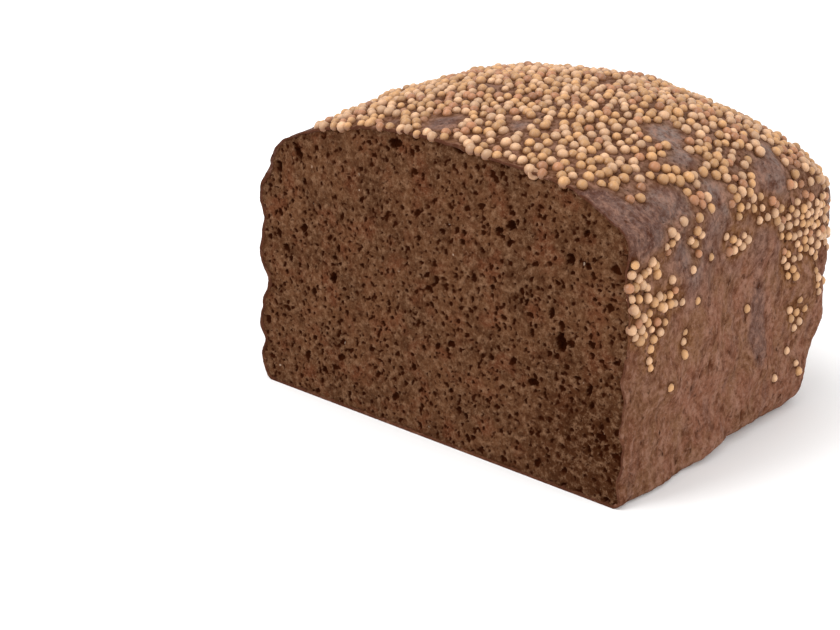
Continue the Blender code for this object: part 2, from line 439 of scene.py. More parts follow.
# Ragged edge of the crown's skin: swing and spacing of its lobes and of its fine teeth,
# how softly it ends, and how strong it is at the shoulder
CROWN_LOBES = (0.012, 0.013)
CROWN_TEETH = (0.004, 0.004)
CROWN_BLEND = 0.016
CROWN_AT_SHOULDER = 0.75

# Where the crown's grey dust starts and is full, from the cut
DUST_FROM = (-0.010, 0.040)


def box_of_cells(counts):
    """Closed cube from -1 to 1, divided into cells along each axis."""
    mesh = bmesh.new()
    bmesh.ops.create_cube(mesh, size=2.0)
    for axis, count in enumerate(counts):
        along_axis = [
            edge for edge in mesh.edges
            if abs(edge.verts[0].co[axis] - edge.verts[1].co[axis]) > 1.0]
        bmesh.ops.subdivide_edges(mesh, edges=along_axis, cuts=count - 1)
    return mesh


def draw_in(verts, distance, middle):
    """Move corner points towards the middle line of the loaf."""
    for vert in verts:
        outwards = Vector((vert.co.x, 0.0, vert.co.z - middle))
        vert.co -= outwards.normalized() * distance


def sink_pocket(mesh, rim, look, middle):
    """Turn the cut face into a rim of crust round a tapered pocket for the crumb."""
    cut = [
        face for face in mesh.faces
        if all(abs(vert.co.y - LOW[1]) < FLATNESS for vert in face.verts)]
    faces = bmesh.ops.dissolve_faces(mesh, faces=cut, use_verts=False)["region"]
    bmesh.ops.inset_region(mesh, faces=faces, thickness=rim, use_even_offset=True)
    bmesh.ops.inset_region(mesh, faces=faces, thickness=0.0, depth=-look.pocket)
    draw_in({vert for face in faces for vert in face.verts}, look.pocket_taper, middle)


def climb(value, start, speed):
    """Straight step from 0 at start, held at 1."""
    return np.clip((value - start) * speed, 0.0, 1.0)


def relief_of_crust(points, normals, look):
    """Push of each point for blisters, grain and pits, and how pitted each point is."""
    on_side = climb(np.abs(normals[:, 0]), *SIDE_UPRIGHT)
    upright = np.maximum(on_side, climb(normals[:, 1], *END_UPRIGHT))
    blister = field(points, look.blister_spacing, "blister")
    blister = np.where(blister > 0.0, blister, HOLLOWS * blister)
    blister = blister * (CROWN_BLISTERS + (1.0 - CROWN_BLISTERS) * upright)
    billow = BILLOW_SWING * np.abs(field(points, look.billow_spacing, "billow")) - BILLOW_MEAN
    grain = field(points, look.grain_spacing, "grain", GRAIN_OCTAVES)
    pit = field(points * np.array(PIT_TALLER), PIT_SPACING, "pit")
    pit = pit + PIT_PATCH_SHARE * field(points, PIT_PATCH_SPACING, "pit patch")
    pitted = climb(pit, *PIT_STEP) * (CROWN_PITS + (1.0 - CROWN_PITS) * upright)
    torn = blend(points[:, 1] - LOW[1], TORN_FOR, 0.0) * upright
    height = look.blister_height * blister + look.grain_height * grain
    height += look.torn_height * torn * field(points, TORN_SPACING, "torn", TORN_OCTAVES)
    height += look.billow_height * billow * upright
    height -= look.pit_depth * pitted
    push = normals * height[:, None]
    push[:, 2] *= np.clip(points[:, 2] / RELIEF_FULL, 0.0, 1.0)
    return push, pitted


def flatten_normals(normals):
    """Turn outward directions at the cut's outline into the plane of the cut."""
    return unit(normals * np.array((1.0, 0.0, 1.0)))


def cut_outline(shape, look):
    """Outline of the crust at the cut, as angles round the core and distances from it."""
    turn = np.linspace(-1.0, 1.0, OUTLINE_STEPS)
    ones, zeros = np.ones(len(turn)), np.zeros(len(turn))
    sides = (
        (turn, zeros, ones), (ones, zeros, 0.5 - 0.5 * turn),
        (-turn, zeros, zeros), (-ones, zeros, 0.5 + 0.5 * turn))
    box = np.concatenate([np.column_stack(side)[:-1] for side in sides])
    points = loaf_points(box, shape)
    points += lumps(points, shape, look)
    step = np.roll(points, -1, axis=0) - np.roll(points, 1, axis=0)
    normals = flatten_normals(np.column_stack((-step[:, 2], 0.0 * step[:, 1], step[:, 0])))
    points += relief_of_crust(points, normals, look)[0]
    across, height = points[:, 0], points[:, 2] - shape.core
    angles = np.arctan2(height, across)
    order = np.argsort(angles)
    return angles[order], np.hypot(across, height)[order]


def cool_share(points, shape):
    """How grey the sides are: in drips under the shoulders, and in one long band of painted shade
    on the right side.
    """
    ragged = DRIP_SWING * field(points * np.array(DRIP_TALLER), DRIP_SPACING, "drip")
    ragged = ragged + FINE_DRIP_SWING * field(points, FINE_DRIP_SPACING, "fine drip")
    under = blend(shape.right_shoulder - points[:, 2] + ragged, DRIPS_END, DRIPS_START)
    along = (points[:, 1] - LOW[1] - SHADE_BAND_ALONG) / SHADE_BAND_HALF_LENGTH
    upward = (points[:, 2] - SHADE_BAND_HEIGHT) / SHADE_BAND_HALF_HEIGHT
    shade_band = blend(np.hypot(along, upward) + SHADE_BAND_RAGGED * ragged, *SHADE_BAND_EDGE)
    return np.maximum(DRIP_SHARE * under, shade_band * (points[:, 0] > 0.0))


def crown_share(points, shape):
    """How much of the crown's darker skin each point has, 0 on the sides and 1 on top."""
    lobes = CROWN_LOBES[0] * field(points, CROWN_LOBES[1], "crown edge")
    teeth = CROWN_TEETH[0] * field(points, CROWN_TEETH[1], "fine crown edge")
    height = points[:, 2] - shoulder_height(points[:, 1], shape) + (lobes + teeth)
    return np.clip(height / CROWN_BLEND + CROWN_AT_SHOULDER, 0.0, 1.0)


class RYELOAF_OT_crust(bpy.types.Operator):
    """Make the baked crust, with a pocket at the cut for the crumb"""

    bl_idname = "rye_loaf.crust"
    bl_label = "Make Crust"

    def execute(self, context):
        shape, look = context.scene.rye_shape, context.scene.rye_crust
        mesh = box_of_cells(CRUST_CELLS)
        box = np.array([vert.co[:] for vert in mesh.verts])
        box[:, 0] = even_across(box[:, 0], shape)
        box[:, 1:] = 0.5 * (box[:, 1:] + 1.0)
        points = loaf_points(box, shape)
        points += lumps(points, shape, look)
        place_corners(mesh, points)
        bmesh.ops.recalc_face_normals(mesh, faces=mesh.faces[:])
        mesh.normal_update()
        normals = np.array([vert.normal[:] for vert in mesh.verts])
        on_cut = box[:, 1] < TOUCHING
        from_core = np.maximum(np.abs(box[:, 0]), np.abs(2.0 * box[:, 2] - 1.0))
        normals[on_cut] = flatten_normals(normals[on_cut])
        push, pitted = relief_of_crust(points, normals, look)
        push[on_cut & ~(from_core > 1.0 - TOUCHING)] = 0.0
        points += push
        marks = {
            "pitted": np.where(on_cut, 0.0, pitted),
            "crown": crown_share(points, shape),
            # Grey drips under the shoulders, and a band of painted shade on the right side
            "cool": cool_share(points, shape),
            "dusty": blend(points[:, 1] - LOW[1], *DUST_FROM),
            "bared": np.where(on_cut, 1.0, 0.0)}
        layers = {name: mesh.verts.layers.float.new(name) for name in marks}
        for number, vert in enumerate(mesh.verts):
            vert.co = points[number]
            for name, layer in layers.items():
                vert[layer] = marks[name][number]
        sink_pocket(mesh, look.rim, context.scene.rye_crumb, shape.core)
        data = finished(mesh, "crust")
        add_piece(data, "crust", crust_material(look))
        data.set_sharp_from_angle(angle=math.radians(SHARP_FROM))
        return {"FINISHED"}


# Cells of the crumb's mesh, and the finer raster that its pores are drawn in
CRUMB_ACROSS = 375
CRUMB_UP = 258
RASTER = 0.00015
LAST_CELL = 1.001

# The crumb's place behind the cut, its crust-side edge, and the depth at which a pore's painted
# shade is full
CRUMB_SET_BACK = 0.00012
CRUMB_CLEARANCE = 0.0003
CRUMB_EDGE = 0.004
PORE_SHADE_FULL = 0.00042

# Roughness and waves of the crumb, and how far it bends its pores
ROUGH_SPACING = 0.0011
ROUGH_OCTAVES = 3
ROUGH_HEIGHT = 0.00010
WAVE_SPACING = 0.009
WAVE_HEIGHT = 0.00012
BEND = 0.0004
BEND_SPACING = 0.0009

# Where the painted shadow low on the right of the crumb begins and where it is full, across and in
# height
LOW_RIGHT_SHADE_ACROSS = (0.020, 0.050)
LOW_RIGHT_SHADE_HEIGHT = (0.045, 0.015)

# Largest holes of the cut, in millimetres: across, height, radius, stretch, and their
# lean in degrees
HOLES = (
    ("crack under the crust", -12.0, 75.0, 0.95, 2.0, 82.0),
    ("crack beside it", 8.8, 77.2, 0.75, 2.1, 80.0),
    ("left shoulder", -52.6, 61.5, 0.95, 1.3, 10.0),
    ("left shoulder, upper", -45.5, 66.5, 0.90, 1.6, -50.0),
    ("left, low", -33.3, 35.0, 0.90, 1.3, 10.0),
    ("right, upper", 24.5, 61.8, 0.95, 1.3, 30.0),
    ("right, upper, beside", 21.0, 60.0, 0.70, 1.5, 80.0),
    ("right", 41.8, 57.6, 0.90, 1.4, -30.0),
    ("slit", 37.1, 43.5, 0.60, 2.0, 5.0),
    ("largest", 40.2, 37.0, 1.15, 1.8, -8.0),
    ("low and wide", 32.5, 24.7, 0.75, 1.9, 80.0),
    ("low and tall", 48.7, 27.4, 0.65, 2.1, 8.0),
)

# Scattered pores: the random start and the spacing of the large ones, then the middle,
# spread and largest radius of each size, the depth in radii, and the stretch
PORE_START = 23
PORE_SPACING = 0.0019
PORE_SPACING_RANGE = (0.4, 1.4)
LARGE_PORE = (0.00038, 0.30, 0.00075, (1.1, 1.7), (1.0, 1.7))
SMALL_PORE = (0.00026, 0.24, 0.00042, (0.4, 1.4), (1.0, 1.9))
LARGE_LEAN = 0.7
SMALL_LEAN = (-1.6, 1.6)
HOLE_DEPTH = 2.0

# Bowl of a pore: how far it reaches, where its wall starts, how wide and round that is
BOWL_REACH = 1.5
BOWL_RIM = 1.25
BOWL_WALL = 0.5
BOWL_POWER = 0.8


def pore_size(draw, middle, spread, largest, depths, stretches):
    """Radius, depth and stretch of a scattered pore."""
    radius = min(middle * math.exp(draw.gauss(0.0, spread)), largest)
    depth = radius * draw.uniform(*depths)
    return radius, depth, draw.uniform(*stretches)


def pore_list(look, draw):
    """Centre, radius, stretch, lean and depth of each pore, the largest first."""
    pores = [
        (x * MM, z * MM, radius * MM, stretch, math.radians(lean), HOLE_DEPTH * radius * MM)
        for _, x, z, radius, stretch, lean in HOLES]
    while len(pores) < len(HOLES) + look.large_pores:
        x = draw.uniform(LOW[0], HIGH[0])
        z = draw.uniform(0.0, HIGH[2])
        spacing = PORE_SPACING * draw.uniform(*PORE_SPACING_RANGE)
        if any(math.hypot(x - other[0], z - other[1]) < spacing for other in pores):
            continue
        radius, depth, stretch = pore_size(draw, *LARGE_PORE)
        pores.append((x, z, radius, stretch, draw.gauss(0.0, LARGE_LEAN), depth))
    for _ in range(look.small_pores):
        x = draw.uniform(LOW[0], HIGH[0])
        z = draw.uniform(0.0, HIGH[2])
        radius, depth, stretch = pore_size(draw, *SMALL_PORE)
        pores.append((x, z, radius, stretch, draw.uniform(*SMALL_LEAN), depth))
    return pores


def draw_pores(look):
    """Raster of the depth of the crumb's surface below the cut."""
    wide = int((HIGH[0] - LOW[0]) / RASTER) + 1
    tall = int(HIGH[2] / RASTER) + 1
    depths = np.zeros((tall, wide))
    for x, z, radius, stretch, lean, depth in pore_list(look, random.Random(PORE_START)):
        reach = radius * stretch * BOWL_REACH
        left = max(int((x - reach - LOW[0]) / RASTER), 0)
        right = min(int((x + reach - LOW[0]) / RASTER) + 2, wide)
        bottom = max(int((z - reach) / RASTER), 0)
        top = min(int((z + reach) / RASTER) + 2, tall)
        dx = LOW[0] + np.arange(left, right) * RASTER - x
        dz = (np.arange(bottom, top) * RASTER - z)[:, None]
        across = (dx * math.cos(lean) - dz * math.sin(lean)) / radius
        upward = (dx * math.sin(lean) + dz * math.cos(lean)) / (radius * stretch)
        level = (BOWL_RIM - np.hypot(across, upward)) / BOWL_WALL
        patch = depths[bottom:top, left:right]
        np.maximum(patch, depth * np.clip(level, 0.0, 1.0) ** BOWL_POWER, out=patch)
    return depths


def sample(raster, x, z):
    """Value of a raster at points of the cut face, mixed from the four nearest."""
    column = np.clip((x - LOW[0]) / RASTER, 0.0, raster.shape[1] - LAST_CELL)
    row = np.clip(z / RASTER, 0.0, raster.shape[0] - LAST_CELL)
    i, j = row.astype(int), column.astype(int)
    u, v = row - i, column - j
    lower = raster[i, j] * (1.0 - v) + raster[i, j + 1] * v
    upper = raster[i + 1, j] * (1.0 - v) + raster[i + 1, j + 1] * v
    return lower * (1.0 - u) + upper * u


class RYELOAF_OT_crumb(bpy.types.Operator):
    """Make the porous crumb that fills the pocket at the cut"""

    bl_idname = "rye_loaf.crumb"
    bl_label = "Make Crumb"

    def execute(self, context):
        shape, look = context.scene.rye_shape, context.scene.rye_crumb
        crust = context.scene.rye_crust
        mesh = bmesh.new()
        bmesh.ops.create_grid(
            mesh, x_segments=CRUMB_ACROSS, y_segments=CRUMB_UP, size=1.0,
            matrix=Matrix.Rotation(0.5 * math.pi, 4, "X"))
        box = np.array([vert.co[:] for vert in mesh.verts])
        box[:, 1] = 0.0
        box[:, 2] = 0.5 * (box[:, 2] + 1.0)
        points = loaf_points(box, shape)
        share = np.maximum(np.abs(box[:, 0]), np.abs(2.0 * box[:, 2] - 1.0))
        angles, reaches = cut_outline(shape, crust)
        turn = np.arctan2(points[:, 2] - shape.core, points[:, 0])
        reach = np.interp(turn, angles, reaches, period=math.tau) - 0.5 * crust.rim
        points[:, 0] = share * reach * np.cos(turn)
        points[:, 1] = LOW[1] + CRUMB_SET_BACK
        points[:, 2] = shape.core + share * reach * np.sin(turn)
        rough = field(points, ROUGH_SPACING, "crumb", ROUGH_OCTAVES)
        wave = field(points, WAVE_SPACING, "crumb wave")
        bent_x = points[:, 0] + BEND * field(points, BEND_SPACING, "pore across")
        bent_z = points[:, 2] + BEND * field(points, BEND_SPACING, "pore upward")
        depth = sample(draw_pores(look), bent_x, bent_z)
        surface = depth + ROUGH_HEIGHT * (1.0 - rough) + WAVE_HEIGHT * (1.0 - wave)
        points[:, 1] += surface
        place_corners(mesh, points)
        outline = [edge for edge in mesh.edges if edge.is_boundary]
        wall = bmesh.ops.extrude_edge_only(mesh, edges=outline)["geom"]
        back = [thing for thing in wall if isinstance(thing, bmesh.types.BMVert)]
        draw_in(back, look.pocket_taper, shape.core)
        for vert in back:
            vert.co.y = LOW[1] + look.pocket - CRUMB_CLEARANCE
        open_edges = [edge for edge in mesh.edges if edge.is_boundary]
        bmesh.ops.contextual_create(mesh, geom=open_edges)
        bmesh.ops.recalc_face_normals(mesh, faces=mesh.faces[:])
        data = finished(mesh, "crumb")
        # Painted shade of each pore by its depth, and nearness to the crust
        pore, edge = np.zeros(len(data.vertices)), np.ones(len(data.vertices))
        pore[:len(depth)] = np.clip(depth / PORE_SHADE_FULL, 0.0, 1.0)
        edge[:len(depth)] = 1.0 - np.clip((1.0 - share) * reach / CRUMB_EDGE, 0.0, 1.0)
        x, _, z = read_points(data).T
        # Painted shadow, darker towards the lower right of the cut face
        moist = blend(x, *LOW_RIGHT_SHADE_ACROSS) * blend(z, *LOW_RIGHT_SHADE_HEIGHT)
        for name, values in (("pore", pore), ("edge", edge), ("moist", moist)):
            set_attribute(data, name, values)
        add_piece(data, "crumb", crumb_material(look))
        return {"FINISHED"}


# Where seeds stick to the right side, in millimetres from the cut and above the base,
# with how far they spread along and up, how many there are, and how far they stand out
SIDE_CLUSTERS = (
    ("corner, top", 2.0, 59.5, 1.0, 1.0, 2, 1.1),
    ("corner, upper pair", 9.0, 57.0, 1.8, 1.0, 4, 0.9),
    ("corner", 2.0, 54.5, 1.8, 1.3, 5, 1.15),
    ("corner, inner", 6.5, 54.0, 1.6, 1.2, 3, 1.1),
    ("row", 15.0, 49.3, 3.0, 0.5, 5, 1.0),
    ("row below", 14.5, 46.9, 2.8, 0.5, 5, 1.0),
    ("corner, knot", 1.8, 49.5, 1.6, 1.5, 7, 1.2),
    ("corner, knot's tail", 4.5, 46.5, 1.6, 1.2, 4, 1.0),
    ("below the row", 10.5, 42.5, 2.2, 1.2, 6, 0.9),
    ("corner, lower", 3.5, 42.5, 1.2, 0.8, 3, 1.0),
    ("string", 9.0, 36.0, 0.4, 2.4, 4, 0.75),
    ("stray, upper", 25.0, 52.7, 0.2, 0.2, 1, 0.7),
    ("stray, high", 34.3, 53.6, 0.2, 0.2, 1, 0.6),
    ("stray, middle", 28.6, 44.3, 0.2, 0.2, 1, 0.7),
    ("strays", 24.5, 34.5, 0.4, 2.2, 3, 0.75),
    ("stray, low", 17.3, 26.0, 0.2, 0.2, 1, 0.75),
    ("first on the shoulder", 17.0, 61.5, 1.2, 1.4, 5, 1.0),
    ("second on the shoulder", 27.5, 60.0, 0.9, 1.8, 6, 1.0),
    ("middle of the shoulder", 46.0, 55.0, 2.0, 1.8, 8, 0.9),
    ("above the middle", 50.0, 62.5, 3.6, 0.9, 6, 0.9),
    ("past the middle", 62.0, 59.0, 4.0, 2.0, 9, 0.9),
    ("far shoulder", 79.0, 54.0, 6.5, 2.4, 36, 0.8),
    ("far corner", 83.0, 46.5, 6.0, 2.6, 22, 0.75),
    ("far corner, middle", 73.5, 40.0, 1.2, 2.2, 6, 0.75),
    ("far corner, edge", 87.0, 37.0, 2.0, 3.0, 5, 0.7),
    ("far corner, knot", 78.0, 27.0, 1.8, 2.2, 7, 0.75),
    ("far corner, stray", 75.0, 18.0, 0.6, 0.6, 2, 0.7),
    ("far foot", 80.0, 11.0, 1.2, 1.2, 2, 0.7),
    ("foot", 68.0, 12.0, 0.4, 0.4, 1, 0.7),
)

# Bare patches of the crown, in millimetres: across, along, half width, half length
BARE_PATCHES = (
    ("behind the cut", 13.5, 15.0, 3.2, 3.6),
    ("at the edge of the cut", -3.5, 6.5, 4.4, 4.6),
    ("right shoulder at the cut", 51.0, 2.0, 9.0, 8.5),
    ("right shoulder", 56.5, 12.0, 5.0, 8.0),
    ("right shoulder, behind", 54.0, 23.5, 3.0, 5.0),
    ("middle", 20.5, 24.5, 2.4, 2.4),
    ("skyline", 11.0, 55.0, 2.0, 3.0),
    ("streak", 39.0, 41.0, 5.2, 6.2),
    ("streak, lower", 47.0, 36.5, 3.8, 4.2),
    ("streak, shoulder", 54.6, 39.5, 2.8, 4.2),
    ("far shoulder", 55.0, 62.5, 3.0, 5.6),
    ("far shoulder, upper", 51.0, 68.0, 3.0, 4.0),
)

# Where seeds lie close all over, in the same measures
FULL_PATCHES = (
    ("knot at the cut", 31.0, 9.0, 9.0, 8.0),
    ("knot behind it", 39.0, 18.0, 7.0, 8.0),
    ("far corner", 50.0, 84.0, 7.0, 10.0),
)

# How the seeds are cast: random start, darts and darts at one spot, how far out they
# start, their range along and round the loaf, and how many slant to the baked end
LAYING_START = 41
SEED_DARTS = 60000
DARTS_AT_A_SPOT = 8
FAR_OUT = 0.3
DARTS_ALONG = (0.0, 0.97)
DARTS_ROUND = (-0.12, 1.12)
SLANT_FROM = 0.55
SLANT_SHARE = 0.4
SLANT_RANGE = (0.0, 3.0)
TRIES_FOR_ONE = 60
CLUSTER_SPREAD = 0.8

# Room between seeds, in clusters and on the crown, which is closer at the back
KNOT_SPACING = 0.00205
SEED_SPACING = 0.00232
BACK_CLOSER = 0.07
BACK_FROM = (0.015, 0.045)
BED_CELL = 0.004

# Edges of the patches, and where seeds thin out on the crown, in millimetres
PATCH_RAGGED = 0.5
PATCH_GRAIN = 0.005
FULL_EDGE = (1.2, 0.8)
BARE_EDGE = (0.80, 1.30)
LEFT_CORNER = (-40.0, 12.0)
CROWN_BACK = (8.0, 40.0)
THIN_FROM = 34.0
THIN_OVER = 22.0
THIN_LESS_BEHIND = 0.8
THIN_MOST = 0.95
THIN_LEAST_LEFT = 0.05

# Gaps of the crown: spacing and swing of the noise, and where a gap ends and begins,
# which moves back along the loaf
WIDE_GAPS = (0.010, 0.9)
SMALL_GAPS = (0.0045, 0.6)
GAP_EDGE = (0.36, 0.16)
GAP_MOVES = 0.36

# Seeds on the sides and on the baked end
SIDE_FROM_HEIGHT = 0.15
SIDE_COVER = 0.05
END_COVER = 0.35
NEAR_END_FROM = 0.72
NEAR_END_OVER = 0.28
SIDE_PATCH_SPACING = 0.016
SIDE_PATCH_MEAN = 0.5
SIDE_PATCH_SWING = 0.9
LEFT_BARE_FOR = 0.010
SIDE_RISE = 0.75

# Which way the crust faces at the cut, on the crown and on the end, and how the seeds
# below the right shoulder thin out
CUT_FACES = -0.5
CROWN_FACES = 0.35
END_FACES = 0.5
EDGE_OF_CUT = 0.0002
OVER_SHOULDER = 0.002
BELOW_SHOULDER = 0.05

# Kinds of seed: weight on the crown, and how much more on the sides, where the extra pale seeds
# are painted light
KINDS = {"pale": (34, 22), "golden": (46, -14), "toasted": (19, -8), "split": (0.5, 0)}
KINDS_START = 77
UPRIGHT_BELOW = 0.5
RADIUS_RANGE = (0.75, 1.18)
SIDE_SHRINK = 0.10
# How much lighter the tone of seeds on the sides is, as painted light
SIDE_PAINTED_LIGHT = 0.3
PROUD = (0.8, 1.2)
SQUASH = ((0.92, 1.0), (0.94, 1.04))
SPLIT_LEAN = (-0.7, 0.7)
SEED_OVERHANG = 0.0009

# The split seed at the edge of the cut: across and height in millimetres, the way it
# faces, how far in it sits, its size and its tone
SPLIT_SEED_AT = (30.6, 75.4)
SPLIT_SEED_FACES = (0.45, -0.75, 0.50)
SPLIT_SEED_IN = 0.3
SPLIT_SEED_SIZE = 1.1
SPLIT_SEED_TONE = 0.4

# Form of a whole seed and of a split one, for a radius of 1
SEED_RIBS = 5
SEED_RINGS = 6
RIB_HEIGHT = 0.02
TIP = 1.06
SPLIT_SEGMENTS = 16
SPLIT_RINGS = 9
SPLIT_AT = 0.30
SPLIT_RIM = 0.22
SPLIT_DISH = 0.30
SPLIT_FACE = 0.8

# How the seeds round a point of the crust are counted, and the mean distances to them
# at which it is bare and fully covered
SEEDS_ROUND = 3
SEEDED = (0.0046, 0.0025)
# Distances to the nearest seed at which the painted shade beside it starts and is full
SEED_SHADE_REACH = (0.0021, 0.0013)


def patch_reach(spot, patches):
    """Distance from the nearest patch of a list, where 1 is the patch's ragged edge."""
    across, along = spot.x / MM, (spot.y - LOW[1]) / MM
    ragged = PATCH_RAGGED * noise.noise(spot / PATCH_GRAIN)
    return ragged + min(
        math.hypot((across - x) / half_x, (along - y) / half_y)
        for _, x, y, half_x, half_y in patches)


def crown_cover(spot):
    """How likely a seed is to stick at a spot on the crown."""
    across, along = spot.x / MM, (spot.y - LOW[1]) / MM
    if across < LEFT_CORNER[0] and along < LEFT_CORNER[1]:
        return 0.0
    back = float(blend(along, *CROWN_BACK))
    thin = max(abs(across) - THIN_FROM, 0.0) / THIN_OVER * (1.0 - THIN_LESS_BEHIND * back)
    gaps = sum(swing * noise.noise(spot / spacing) for spacing, swing in (WIDE_GAPS, SMALL_GAPS))
    share = float(blend(gaps, *(edge + GAP_MOVES * back for edge in GAP_EDGE)))
    share *= max(1.0 - THIN_MOST * thin, THIN_LEAST_LEFT)
    share = max(share, float(blend(patch_reach(spot, FULL_PATCHES), *FULL_EDGE)))
    share *= float(blend(patch_reach(spot, BARE_PATCHES), *BARE_EDGE))
    return 1.0 - (1.0 - share) ** (1.0 / DARTS_AT_A_SPOT)


def side_cover(spot, shape):
    """How likely a seed is to stick at a spot on a side or on the baked end."""
    if spot.x < 0.0 and spot.y < LOW[1] + LEFT_BARE_FOR:
        return 0.0
    height = max(spot.z / shape.right_shoulder - SIDE_FROM_HEIGHT, 0.0)
    along = (spot.y - LOW[1]) / shape.length
    near_end = max(along - NEAR_END_FROM, 0.0) / NEAR_END_OVER
    patch = SIDE_PATCH_MEAN + SIDE_PATCH_SWING * noise.noise(spot / SIDE_PATCH_SPACING)
    return height ** 2 * (SIDE_COVER + END_COVER * near_end) * max(patch, 0.0)


def cast_on_crust(crust, shape, draw):
    """A random spot on the outside of the crust, with its normal."""
    start = Vector((0.0, LOW[1] + draw.uniform(*DARTS_ALONG) * shape.length, shape.core))
    angle = draw.uniform(*DARTS_ROUND) * math.pi
    slant = 0.0
    if start.y - LOW[1] > SLANT_FROM * shape.length and draw.random() < SLANT_SHARE:
        slant = draw.uniform(*SLANT_RANGE)
    ray = Vector((math.cos(angle), slant, math.sin(angle))).normalized()
    return crust.ray_cast(start + ray * FAR_OUT, -ray)[:2]


class SeedBed:
    """Grid of the seeds laid so far, which tells whether a new one has room."""

    def __init__(self):
        self.cells = {}
        self.seeds = []

    def cell(self, spot):
        return tuple(int(math.floor(value / BED_CELL)) for value in spot)

    def has_room(self, spot, spacing):
        near = itertools.product(*((n - 1, n, n + 1) for n in self.cell(spot)))
        return all(
            (spot - other).length >= spacing
            for cell in near for other in self.cells.get(cell, ()))

    def lay(self, spot, normal, rise):
        self.cells.setdefault(self.cell(spot), []).append(spot)
        self.seeds.append((spot, normal, rise))


def lay_seeds(crust, shape):
    """Spots and normals for all the seeds on the crust, with how far each stands out."""
    draw = random.Random(LAYING_START)
    bed = SeedBed()
    for _, along, height, reach_along, reach_up, count, rise in SIDE_CLUSTERS:
        laid = 0
        for _ in range(TRIES_FOR_ONE * count):
            start = Vector((
                FAR_OUT,
                LOW[1] + (along + draw.gauss(0.0, CLUSTER_SPREAD) * reach_along) * MM,
                (height + draw.gauss(0.0, CLUSTER_SPREAD) * reach_up) * MM))
            spot, normal, _, _ = crust.ray_cast(start, Vector((-1.0, 0.0, 0.0)))
            if spot is None or spot.y < LOW[1] + EDGE_OF_CUT:
                continue
            if laid < count and bed.has_room(spot, KNOT_SPACING):
                bed.lay(spot, normal, rise)
                laid += 1
    for _ in range(SEED_DARTS):
        spot, normal = cast_on_crust(crust, shape, draw)
        if spot is None or spot.y < LOW[1] + EDGE_OF_CUT or normal.y < CUT_FACES:
            continue
        crown = normal.z > CROWN_FACES or spot.z > shape.right_shoulder
        cover = crown_cover(spot) if crown else side_cover(spot, shape)
        low = spot.z < shoulder_height(spot.y, shape) + OVER_SHOULDER
        if low and spot.x > 0.0 and normal.y < END_FACES:
            cover *= BELOW_SHOULDER
        closer = 1.0 - BACK_CLOSER * float(blend(spot.y - LOW[1], *BACK_FROM))
        if draw.random() < cover and bed.has_room(spot, SEED_SPACING * closer):
            bed.lay(spot, normal, 1.0 if crown else SIDE_RISE)
    return bed.seeds


def rib_wave(place):
    """Swing of the ribs at a place on a seed: 1 on a rib, -1 in a furrow."""
    return math.cos(SEED_RIBS * math.atan2(place.y, place.x))


def seed_data(mesh, name, furrow):
    """Finished seed, with its furrows by a rule and places for its tone and the painted shade of
    its underside.
    """
    data = finished(mesh, name)
    for attribute in ("tone", "sunk"):
        set_attribute(data, attribute, np.zeros(len(data.vertices)))
    set_attribute(data, "furrow", np.array([furrow(vert.co) for vert in data.vertices]))
    return data


def seed_mesh():
    """One coriander seed of radius 1: a ribbed ball with a small tip."""
    mesh = bmesh.new()
    bmesh.ops.create_uvsphere(
        mesh, u_segments=2 * SEED_RIBS, v_segments=SEED_RINGS, radius=1.0)
    for vert in mesh.verts:
        level = vert.co.z
        belt = 1.0 - level * level
        rib = 1.0 + RIB_HEIGHT * belt * rib_wave(vert.co)
        vert.co.x *= rib
        vert.co.y *= rib
        if belt < TOUCHING:
            vert.co.z = math.copysign(TIP, level)
    return seed_data(mesh, "seed", lambda place: 0.5 - 0.5 * rib_wave(place))


def split_seed_mesh():
    """Half a split seed of radius 1, with its flat, slightly dished face up."""
    mesh = bmesh.new()
    bmesh.ops.create_uvsphere(
        mesh, u_segments=SPLIT_SEGMENTS, v_segments=SPLIT_RINGS, radius=1.0)
    everything = mesh.verts[:] + mesh.edges[:] + mesh.faces[:]
    cut = bmesh.ops.bisect_plane(
        mesh, geom=everything, plane_co=(0.0, 0.0, SPLIT_AT), plane_no=(0.0, 0.0, 1.0),
        clear_outer=True)["geom_cut"]
    ring = [thing for thing in cut if isinstance(thing, bmesh.types.BMEdge)]
    flat = bmesh.ops.contextual_create(mesh, geom=ring)["faces"]
    bmesh.ops.inset_region(mesh, faces=flat, thickness=SPLIT_RIM, depth=0.0)
    for vert in bmesh.ops.poke(mesh, faces=flat)["verts"]:
        vert.co.z -= SPLIT_DISH
    bmesh.ops.recalc_face_normals(mesh, faces=mesh.faces[:])
    return seed_data(mesh, "split seed", lambda place: float(
        math.hypot(place.x, place.y) < SPLIT_FACE and place.z > -SPLIT_DISH))


def seat(spot, normal, radius, proud):
    """Centre of a seed that stands proud of the crust, kept inside the frame's box."""
    centre = spot + normal * (proud - radius)
    for axis in range(3):
        low = LOW[axis] + TIP * radius - (SEED_OVERHANG if axis == 1 else 0.0)
        centre[axis] = min(max(centre[axis], low), HIGH[axis] - TIP * radius)
    return centre


def random_turn(draw):
    """Rotation that points a seed anywhere."""
    axis = Vector((draw.gauss(0, 1), draw.gauss(0, 1), draw.gauss(0, 1))).normalized()
    return Matrix.Rotation(draw.uniform(0.0, math.tau), 4, axis)


def join_copies(name, shape_mesh, copies):
    """One mesh of many placed copies of a seed, each with its tone and the painted shade of its
    underside.
    """
    joined = bmesh.new()
    corners = read_points(shape_mesh)
    for place, normal, tone in copies:
        copy = shape_mesh.copy()
        # How far each corner faces into the crust, for the painted shade of the seed's underside
        upward = corners @ np.array(place.to_3x3()).T @ np.array(normal)
        copy.transform(place)
        set_attribute(copy, "tone", np.full(len(corners), tone))
        set_attribute(copy, "sunk", -upward / np.abs(upward).max())
        joined.from_mesh(copy)
        bpy.data.meshes.remove(copy)
    return finished(joined, name)


